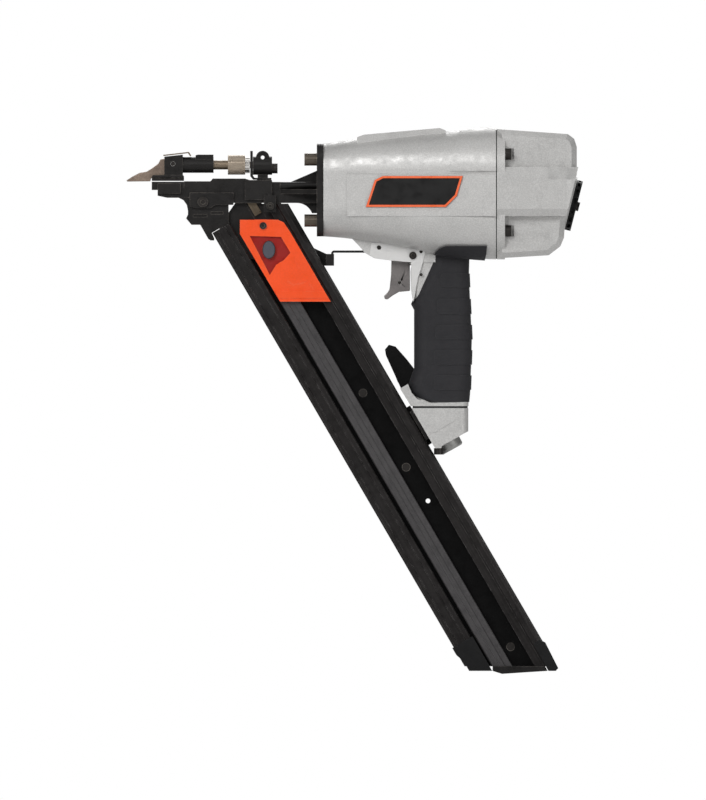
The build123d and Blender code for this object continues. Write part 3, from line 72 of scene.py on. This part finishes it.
# ---------------------------------------------------------------- material graphs
class Graph:
    """Builds the nodes of one material, in the frame's own coordinates, in metres."""

    def __init__(self, name):
        self.material = bpy.data.materials.new(name)
        self.material.use_nodes = True
        self.nodes = self.material.node_tree.nodes
        self.links = self.material.node_tree.links
        self.shader = self.nodes["Principled BSDF"]
        self.place = self.nodes.new("ShaderNodeTexCoord").outputs["Object"]

    def add(self, kind, inputs=(), **settings):
        node = self.nodes.new(kind)
        for key, value in settings.items():
            setattr(node, key, value)
        for key, value in dict(inputs).items():
            if isinstance(value, bpy.types.NodeSocket):
                self.links.new(value, node.inputs[key])
            else:
                node.inputs[key].default_value = value
        return node

    def turned(self, angle, stretch):
        """Place turned about Y, then stretched, for grain that runs one way."""
        node = self.add("ShaderNodeMapping", {"Vector": self.place, "Rotation": (0, angle, 0)})
        return self.add("ShaderNodeMapping", {"Vector": node.outputs[0], "Scale": stretch}).outputs[0]

    def noise(self, scale, detail=4.0, roughness=0.55, place=None):
        inputs = {
            "Vector": place or self.place, "Scale": scale, "Detail": detail, "Roughness": roughness,
        }
        return self.add("ShaderNodeTexNoise", inputs).outputs["Fac"]

    def remap(self, value, low, high, to_low=0.0, to_high=1.0):
        inputs = {0: value, 1: low, 2: high, 3: to_low, 4: to_high}
        return self.add("ShaderNodeMapRange", inputs, clamp=True).outputs[0]

    def math(self, operation, a, b=0.0):
        return self.add("ShaderNodeMath", {0: a, 1: b}, operation=operation).outputs[0]

    def mix(self, share, a, b):
        node = self.add("ShaderNodeMix", data_type="RGBA")
        for socket, value in (("Factor", share), ("A", a), ("B", b)):
            target = [s for s in node.inputs if s.name == socket and s.enabled][0]
            if isinstance(value, bpy.types.NodeSocket):
                self.links.new(value, target)
            else:
                target.default_value = value
        return [s for s in node.outputs if s.enabled][0]

    def edge(self, radius, amount):
        """1 on outer edges over about radius, broken up by noise: edge wear with a painted highlight."""
        bevel = self.add("ShaderNodeBevel", {"Radius": radius}, samples=6).outputs[0]
        normal = self.add("ShaderNodeNewGeometry").outputs["Normal"]
        turn = self.add("ShaderNodeVectorMath", {0: bevel, 1: normal}, operation="DOT_PRODUCT")
        wear_and_highlight = self.remap(turn.outputs["Value"], EDGE_FLAT, EDGE_SHARP)
        patches = self.remap(self.noise(WEAR_AND_HIGHLIGHT_SCALE, 3.0), 0.35, 0.62)
        return self.math("MULTIPLY", self.math("MULTIPLY", wear_and_highlight, patches), amount)

    def bump(self, height, distance):
        inputs = {"Height": height, "Distance": distance, "Strength": 1.0}
        return self.add("ShaderNodeBump", inputs).outputs[0]

    def wire(self, socket, output):
        self.links.new(output, self.shader.inputs[socket])


def rgb(color, scale=1.0):
    return (color[0] * scale, color[1] * scale, color[2] * scale, 1.0)


def finish(name, color, metallic=0.0, rough=0.5, cloud=0.12, cloud_scale=35.0, speck=0.1, speck_scale=700.0,
           grain=0.03, grain_scale=900.0, wear_and_highlight=0.4, wear_and_highlight_color=None, wear_and_highlight_radius=0.0006, streak=None,
           coat=0.0, rough_range=0.12, pits=0.0, painted_recess_shade=None, panel=None, shine=0.5):
    """A finish with large soft patches, fine specks, grain, and edges that wear and carry a painted
    highlight.

    the recess-shade tuple is (y where it starts, y where it is full, colour): painted shade on faces that
    look at the open side, darker the deeper they sit;
    panel is (half width, lowest, highest corner, colour) for lighter flat pads on both sides.
    """
    g = Graph(name)
    patches = g.remap(g.noise(cloud_scale, 3.0), *SPREAD)
    base = g.mix(patches, rgb(color, 1.0 - cloud), rgb(color, 1.0 + cloud))
    specks = g.remap(g.noise(speck_scale, 2.0), 0.42, 0.62)
    base = g.mix(g.math("MULTIPLY", specks, speck), base, rgb(color, SPECK_GAIN))
    height = g.noise(grain_scale, 3.0, 0.6)
    roughness = g.remap(g.noise(cloud_scale * 4, 4.0), *SPREAD, rough - rough_range, rough + rough_range)
    if streak:
        angle, stretch, depth, tint = streak
        lines = g.noise(1.0, 4.0, 0.6, g.turned(angle, stretch))
        base = g.mix(g.remap(lines, 0.35, 0.7, 0.0, depth), base, rgb(tint))
        height = g.math("ADD", height, g.math("MULTIPLY", lines, STREAK_RELIEF))
    if painted_recess_shade or panel:
        x, y, z = g.add("ShaderNodeSeparateXYZ", {0: g.place}).outputs
    # painted shade: faces that look at the open side take the dark tint the deeper they sit in a recess
    if painted_recess_shade:
        start, full, tint = painted_recess_shade
        normal = g.add("ShaderNodeTexCoord").outputs["Normal"]
        facing = g.add("ShaderNodeSeparateXYZ", {0: normal}).outputs[1]
        front = g.math("LESS_THAN", facing, FRONT_FACING)
        base = g.mix(g.math("MULTIPLY", front, g.remap(y, start * MM, full * MM)), base, rgb(tint))
    if panel:
        half, low, high, tint = panel
        inside = g.math("COMPARE", g.math("ABSOLUTE", y), half * MM)
        inside.node.inputs[2].default_value = PANEL_TOLERANCE * MM
        for value, limit, test in ((x, low[0], "GREATER_THAN"), (x, high[0], "LESS_THAN"),
                                   (z, low[1], "GREATER_THAN"), (z, high[1], "LESS_THAN")):
            inside = g.math("MULTIPLY", inside, g.math(test, value, limit * MM))
        base = g.mix(inside, base, rgb(tint))
    # edges: wear and a painted highlight, a lighter colour where the rounded normal turns from the true one
    if wear_and_highlight:
        wear_and_highlight_mask = g.edge(wear_and_highlight_radius, wear_and_highlight)
        base = g.mix(wear_and_highlight_mask, base, rgb(wear_and_highlight_color or [min(1.0, c * 2.2 + 0.05) for c in color]))
        roughness = g.math("SUBTRACT", roughness, g.math("MULTIPLY", wear_and_highlight_mask, WEAR_POLISH))
    if pits:
        holes = g.remap(g.noise(PIT_SCALE, 2.0, 0.5), 0.28, 0.36, 1.0, 0.0)
        height = g.math("SUBTRACT", height, g.math("MULTIPLY", holes, pits))
    g.wire("Base Color", base)
    g.wire("Roughness", roughness)
    g.wire("Normal", g.bump(height, grain * MM))
    g.shader.inputs["Metallic"].default_value = metallic
    g.shader.inputs["Specular IOR Level"].default_value = shine
    if coat:
        g.shader.inputs["Coat Weight"].default_value = coat
        g.shader.inputs["Coat Roughness"].default_value = COAT_ROUGHNESS
    return g.material


ALONG_MAG = (MAG_TILT, (900.0, 900.0, 9.0))
ALONG_X = (0.0, (12.0, 900.0, 900.0))
FINISHES = {
    "cast_silver": finish(
        "cast_silver", (0.47, 0.465, 0.455), metallic=0.35, rough=0.46, cloud=0.06, speck=0.22,
        speck_scale=1100.0, grain=0.09, grain_scale=1300.0, wear_and_highlight=0.35, wear_and_highlight_color=(0.75, 0.75, 0.74),
        pits=0.5,
        panel=(17.6, (183.0, -100.0), (235.0, -44.0), (0.66, 0.655, 0.645)),
    ),
    "gasket": finish("gasket", (0.03, 0.03, 0.03), rough=0.75, wear_and_highlight=0.0, shine=0.2),
    "dark_bolt": finish(
        "dark_bolt", (0.03, 0.027, 0.025), metallic=0.75, rough=0.42, wear_and_highlight=0.8, wear_and_highlight_color=(0.3, 0.27, 0.23),
        wear_and_highlight_radius=0.0004,
    ),
    "bronze_bolt": finish(
        "bronze_bolt", (0.10, 0.083, 0.066), metallic=0.8, rough=0.4, wear_and_highlight=0.9, wear_and_highlight_color=(0.42, 0.35, 0.28),
        wear_and_highlight_radius=0.0005,
    ),
    "black_plastic": finish(
        "black_plastic", (0.006, 0.006, 0.0063), rough=0.5, grain=0.05, wear_and_highlight=0.4,
        wear_and_highlight_color=(0.05, 0.05, 0.05), shine=0.2,
    ),
    "plain_aluminium": finish("plain_aluminium", (0.7, 0.7, 0.69), metallic=0.9, rough=0.3),
    "seal_rubber": finish("seal_rubber", (0.02, 0.02, 0.02), rough=0.6, wear_and_highlight=0.0),
    "spring_steel": finish("spring_steel", (0.4, 0.4, 0.4), metallic=0.9, rough=0.3),
    "spring_band": finish(
        "spring_band", (0.10, 0.08, 0.055), metallic=0.7, rough=0.38,
        streak=(*ALONG_MAG, 0.4, (0.2, 0.15, 0.1)),
    ),
    "black_steel": finish(
        "black_steel", (0.014, 0.013, 0.0125), metallic=0.3, rough=0.44, cloud=0.25, speck=0.25,
        speck_scale=900.0, grain=0.06, wear_and_highlight=0.85, wear_and_highlight_color=(0.17, 0.15, 0.135), shine=0.25,
    ),
    "grip_rubber": finish(
        "grip_rubber", (0.0235, 0.023, 0.0255), rough=0.66, cloud=0.1, speck=0.12, speck_scale=1600.0,
        grain=0.08, grain_scale=1800.0, wear_and_highlight=0.3, wear_and_highlight_color=(0.085, 0.085, 0.09), wear_and_highlight_radius=0.001,
        shine=0.22,
    ),
    "zinc_grey": finish("zinc_grey", (0.3, 0.3, 0.29), metallic=0.6, rough=0.45, grain=0.06),
    "black_anodised": finish(
        "black_anodised", (0.014, 0.0127, 0.0124), metallic=0.35, rough=0.4, cloud=0.3, speck=0.3,
        speck_scale=1000.0, grain=0.05, streak=(*ALONG_MAG, 0.35, (0.04, 0.036, 0.035)),
        wear_and_highlight=1.0, wear_and_highlight_color=(0.2, 0.19, 0.185),
        # painted shade on the recessed faces of the black magazine parts, almost black
        wear_and_highlight_radius=0.0005, painted_recess_shade=(-7.5, -2.0, (0.0008, 0.0007, 0.0007)), shine=0.18,
    ),
    "grey_rail": finish(
        "grey_rail", (0.052, 0.049, 0.05), metallic=0.4, rough=0.42, cloud=0.15, grain=0.05,
        streak=(*ALONG_MAG, 0.4, (0.09, 0.085, 0.087)), wear_and_highlight=0.7, wear_and_highlight_color=(0.2, 0.19, 0.19),
    ),
    "badge_black": finish("badge_black", (0.004, 0.0037, 0.0037), rough=0.4, grain=0.01, wear_and_highlight=0.0, shine=0.3),
    "badge_orange": finish(
        "badge_orange", (0.86, 0.13, 0.03), rough=0.35, cloud=0.04, grain=0.01, wear_and_highlight=0.0, coat=0.4,
    ),
    "black_wire": finish("black_wire", (0.015, 0.015, 0.015), metallic=0.4, rough=0.4),
    "knurled_steel": finish(
        "knurled_steel", (0.36, 0.30, 0.235), metallic=0.75, rough=0.36, wear_and_highlight=0.8,
        wear_and_highlight_color=(0.72, 0.66, 0.57), wear_and_highlight_radius=0.0003,
    ),
    "bright_steel": finish("bright_steel", (0.75, 0.73, 0.7), metallic=0.95, rough=0.16, rough_range=0.06),
    "tan_steel": finish("tan_steel", (0.21, 0.165, 0.12), metallic=0.75, rough=0.38),
    "brown_steel": finish(
        "brown_steel", (0.20, 0.15, 0.118), metallic=0.65, rough=0.4, cloud=0.25, speck=0.3, grain=0.06,
        streak=(*ALONG_X, 0.35, (0.34, 0.27, 0.215)), wear_and_highlight=0.9, wear_and_highlight_color=(0.5, 0.43, 0.36),
    ),
    "trigger_metal": finish(
        "trigger_metal", (0.19, 0.176, 0.172), metallic=0.5, rough=0.45, cloud=0.15, grain=0.07,
        wear_and_highlight=0.6, wear_and_highlight_color=(0.3, 0.28, 0.26),
    ),
    "orange_plastic": finish(
        "orange_plastic", (0.9, 0.082, 0.011), rough=0.4, cloud=0.05, speck=0.06, grain=0.03, wear_and_highlight=0.35,
        # painted shade on the follower's recessed faces, a dark red
        wear_and_highlight_color=(0.95, 0.3, 0.14), wear_and_highlight_radius=0.0008, painted_recess_shade=(-12.5, -11.0, (0.3, 0.006, 0.002)),
        shine=0.35,
    ),
    "button_grey": finish("button_grey", (0.06, 0.066, 0.085), rough=0.45, grain=0.05, wear_and_highlight=0.5),
    "hook_rubber": finish("hook_rubber", (0.003, 0.003, 0.003), rough=0.55, grain=0.05, wear_and_highlight=0.1, shine=0.15),
}

for entry in frame["record"]["subparts"]:
    mesh = nodes[entry["node"]].data
    for index in range(max(1, len(mesh.materials))):
        if index < len(mesh.materials):
            mesh.materials[index] = FINISHES[entry["material_slot"]]
        else:
            mesh.materials.append(FINISHES[entry["material_slot"]])


# ---------------------------------------------------------------- softened edges on the CAD nodes
BEVEL_ANGLE = math.radians(32.0)


def soften(name, width):
    """Small bevels, in mm, on a CAD node's edges, by modifiers only."""
    item = nodes[name]
    weld = item.modifiers.new("weld", "WELD")
    weld.merge_threshold = WELD * MM
    bevel = item.modifiers.new("bevel", "BEVEL")
    bevel.width = width * MM
    bevel.segments = 2
    bevel.limit_method = "ANGLE"
    bevel.angle_limit = BEVEL_ANGLE
    normals = item.modifiers.new("normals", "WEIGHTED_NORMAL")
    normals.keep_sharp = True
    normals.weight = 60


EDGES = {
    "magazine_channel": 0.35, "end_cap": 0.9, "follower": 0.5, "magazine_feet": 0.6, "bottom_plate": 0.4,
    "trigger": 0.7, "rafter_hook": 1.2, "nail_rail": 0.3, "magazine_bracket": 0.3, "follower_button": 0.4,
    "trip_arm": 0.3, "contact_yoke": 0.3, "probe_holder": 0.4, "probe": 0.35, "nose_clip": 0.2,
}
for node_name, edge_width in EDGES.items():
    soften(node_name, edge_width)


# ---------------------------------------------------------------- badge: orange rim on the black plate
SAME_WAY = 0.97         # cosine above which a face counts as looking the same way


def face_of(name, normal):
    """A bmesh of those faces of a CAD node that look along normal, with the lines between them gone."""
    mesh = bmesh.new()
    mesh.from_mesh(nodes[name].data)
    bmesh.ops.remove_doubles(mesh, verts=mesh.verts, dist=0.01 * MM)
    mesh.normal_update()
    away = [f for f in mesh.faces if f.normal.dot(normal) < SAME_WAY]
    bmesh.ops.delete(mesh, geom=away, context="FACES")
    bmesh.ops.dissolve_limit(mesh, angle_limit=0.02, verts=mesh.verts, edges=mesh.edges)
    return mesh


def add_piece(name, mesh, body, look):
    """Turn a bmesh into a flat-shaded piece that rides on a body."""
    data = bpy.data.meshes.new(name)
    bmesh.ops.recalc_face_normals(mesh, faces=mesh.faces)
    mesh.to_mesh(data)
    mesh.free()
    for polygon in data.polygons:
        polygon.use_smooth = False
    item = bpy.data.objects.new(name, data)
    bpy.context.scene.collection.objects.link(item)
    data.materials.append(FINISHES[look])
    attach(item, body)
    return item


RIM_WIDTH = 1.9
RIM_HEIGHT = 0.45
RIM_BEVEL = 0.15
BADGE_FRONT = Vector((-0.1201, -0.9928, 0.0))    # the way the badge faces, square to the housing's band


def badge_rim():
    """The orange border, cut from the badge's own front face and raised a little."""
    front = BADGE_FRONT
    mesh = face_of("badge", front)
    inset = bmesh.ops.inset_region(mesh, faces=mesh.faces, thickness=RIM_WIDTH * MM, use_boundary=True,
                                   use_even_offset=True)
    inner = [f for f in mesh.faces if f not in inset["faces"]]
    bmesh.ops.delete(mesh, geom=inner, context="FACES")
    raised = bmesh.ops.extrude_face_region(mesh, geom=list(mesh.faces))["geom"]
    for vert in (g for g in raised if isinstance(g, bmesh.types.BMVert)):
        vert.co += front * RIM_HEIGHT * MM
    item = add_piece("badge_rim", mesh, "tool", "badge_orange")
    bevel = item.modifiers.new("bevel", "BEVEL")
    bevel.width = RIM_BEVEL * MM
    bevel.segments = 2


badge_rim()


# ---------------------------------------------------------------- stage, light and camera
FLOOR_HALF = 6.0


def stage_floor():
    """A plain pale floor under the lowest point of the tool."""
    mesh = bpy.data.meshes.new("floor")
    low = cad_box[0][2]
    corners = [(x * FLOOR_HALF, y * FLOOR_HALF, low) for x, y in ((-1, -1), (1, -1), (1, 1), (-1, 1))]
    mesh.from_pydata(corners, [], [(0, 1, 2, 3)])
    floor = bpy.data.objects.new("floor", mesh)
    bpy.context.scene.collection.objects.link(floor)
    g = Graph("pale_floor")
    tone = g.mix(g.remap(g.noise(1.5, 3.0), *SPREAD), rgb((0.86, 0.86, 0.86)), rgb((0.9, 0.9, 0.9)))
    g.wire("Base Color", tone)
    g.shader.inputs["Roughness"].default_value = 0.8
    mesh.materials.append(g.material)


def lamp(name, place, size, power):
    """A soft white rectangle of light that faces the middle of the tool."""
    data = bpy.data.lights.new(name, "AREA")
    data.shape = "RECTANGLE"
    data.size, data.size_y = size
    data.energy = power
    item = bpy.data.objects.new(name, data)
    item.location = place
    item.rotation_euler = (Vector(CENTRE) - Vector(place)).to_track_quat("-Z", "Y").to_euler()
    item.visible_camera = False
    bpy.context.scene.collection.objects.link(item)


CENTRE = (0.17, 0.0, -0.1823)    # what the camera and the lamps look at
WORLD_LIGHT = 0.18               # the backdrop as a light
WORLD_SEEN = 1.0                 # the backdrop as the camera sees it
VIEW_SIZE = 0.696                # height of the view, m
CAMERA_BACK = 2.5                # how far the camera stands off, m

stage_floor()
lamp("key", (-1.5, -4.0, 2.2), (2.0, 2.0), 114.0)
lamp("fill", (3.2, -4.0, 0.9), (1.8, 2.4), 44.0)
lamp("top", (0.8, -0.8, 4.0), (3.0, 2.5), 25.0)
lamp("rear", (0.8, 4.0, 2.4), (3.5, 2.5), 120.0)

world = bpy.data.worlds.new("studio")
world.use_nodes = True
sky = world.node_tree
backdrop = sky.nodes["Background"]
backdrop.inputs["Color"].default_value = (1.0, 1.0, 1.0, 1.0)
light_path = sky.nodes.new("ShaderNodeLightPath")
strength = sky.nodes.new("ShaderNodeMapRange")
strength.inputs["To Min"].default_value = WORLD_LIGHT
strength.inputs["To Max"].default_value = WORLD_SEEN
sky.links.new(light_path.outputs["Is Camera Ray"], strength.inputs["Value"])
sky.links.new(strength.outputs[0], backdrop.inputs["Strength"])
bpy.context.scene.world = world
bpy.context.scene.view_settings.view_transform = "Standard"

camera_data = bpy.data.cameras.new("camera")
camera_data.type = "ORTHO"
camera_data.ortho_scale = VIEW_SIZE
camera = bpy.data.objects.new("camera", camera_data)
camera.location = (CENTRE[0], -CAMERA_BACK, CENTRE[2])
camera.rotation_euler = (math.radians(90), 0, 0)
bpy.context.scene.collection.objects.link(camera)
bpy.context.scene.camera = camera
